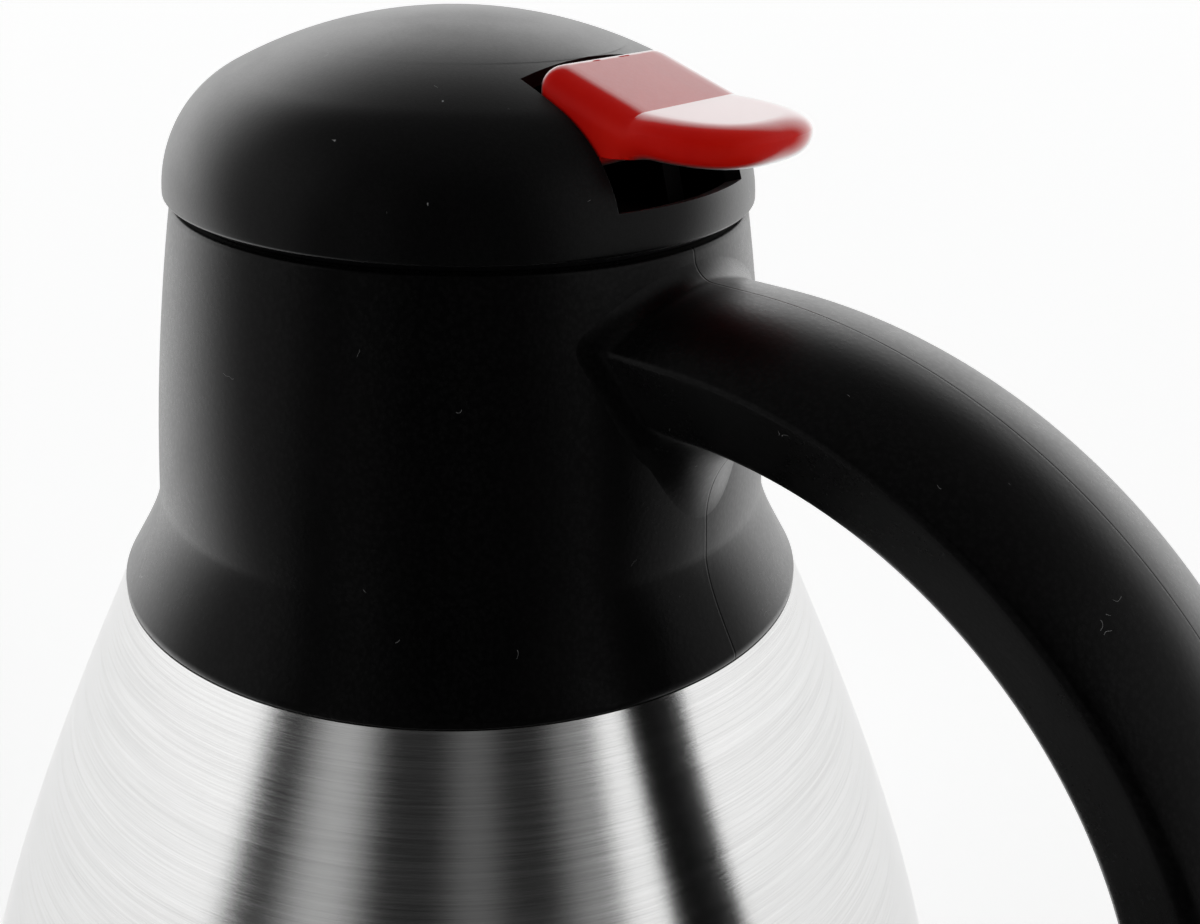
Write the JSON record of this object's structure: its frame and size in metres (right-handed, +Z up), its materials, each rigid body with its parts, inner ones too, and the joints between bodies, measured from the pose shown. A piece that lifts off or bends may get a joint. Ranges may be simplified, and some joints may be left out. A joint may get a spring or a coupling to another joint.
{
  "type": "thermal carafe",
  "caption": "Bell-shaped double-walled steel thermal carafe with a flared collar, an arched handle and a domed screw-in stopper opened by a press lever.",
  "frame": {"origin": "on the jug's axis, in the plane that the foot pad stands on", "axes": "+Z up along the jug's axis, +X towards the handle, -X towards the pouring beak; the jug is the same on both sides of the XZ plane"},
  "size_m": [0.2122, 0.1632, 0.1998],
  "materials": {
    "brushed_steel": "satin, brushed up and down",
    "inner_steel": "plain drawn steel",
    "small_steel": "plain",
    "black_plastic": "fine grained satin",
    "dome_plastic": "fine grained matte",
    "inner_plastic": "plain moulded",
    "red_plastic": "semi-gloss",
    "silicone": "matte, pale",
    "foot_rubber": "matte"
  },
  "bodies": {
    "jug": {"outer_shell": "brushed_steel", "shell_bottom": "inner_steel", "vacuum_plug": "small_steel", "inner_flask": "inner_steel", "inner_bottom": "inner_steel", "base_cup": "black_plastic", "foot_pad": "foot_rubber", "handle_bracket": "small_steel", "handle_screw": "small_steel", "collar_and_handle": "black_plastic", "handle_cover": "black_plastic", "neck_nut": "inner_plastic", "mouth_gasket": "silicone", "pouring_ring": "inner_plastic"},
    "stopper_ring": {"stopper_seal": "silicone"},
    "stopper": {"stopper_cup": "inner_plastic", "stopper_deck": "inner_plastic", "stem_seal": "silicone", "dome_cover": "dome_plastic", "lever_pin": "small_steel", "valve_spring": "small_steel"},
    "lever": {"lever": "red_plastic"},
    "valve": {"valve_stem": "small_steel", "stem_washer": "small_steel", "valve_disc": "inner_plastic", "valve_seal": "silicone"}
  },
  "joints": [
    {"name": "stopper_lift", "type": "slide", "parent": "jug", "child": "stopper_ring", "axis": [0, 0, 1], "range_m": [0, 0.08]},
    {"name": "stopper_turn", "type": "hinge", "parent": "stopper_ring", "child": "stopper", "pos_m": [0, 0, 0.1351], "axis": [0, 0, 1], "range_deg": [0, 90]},
    {"name": "lever_press", "type": "hinge", "parent": "stopper", "child": "lever", "pos_m": [0.025, 0, 0.1866], "axis": [0, 1, 0], "range_deg": [0, 12], "stiffness_Nm_per_rad": 0.375, "springref_deg": -11.46},
    {"name": "valve_lift", "type": "slide", "parent": "stopper", "child": "valve", "axis": [0, 0, 1], "range_m": [0, 0.0053], "deforming": ["valve_spring"]}
  ],
  "couplings": [
    {"joint": "valve_lift", "follows": "lever_press", "m_per_rad": 0.025}
  ]
}
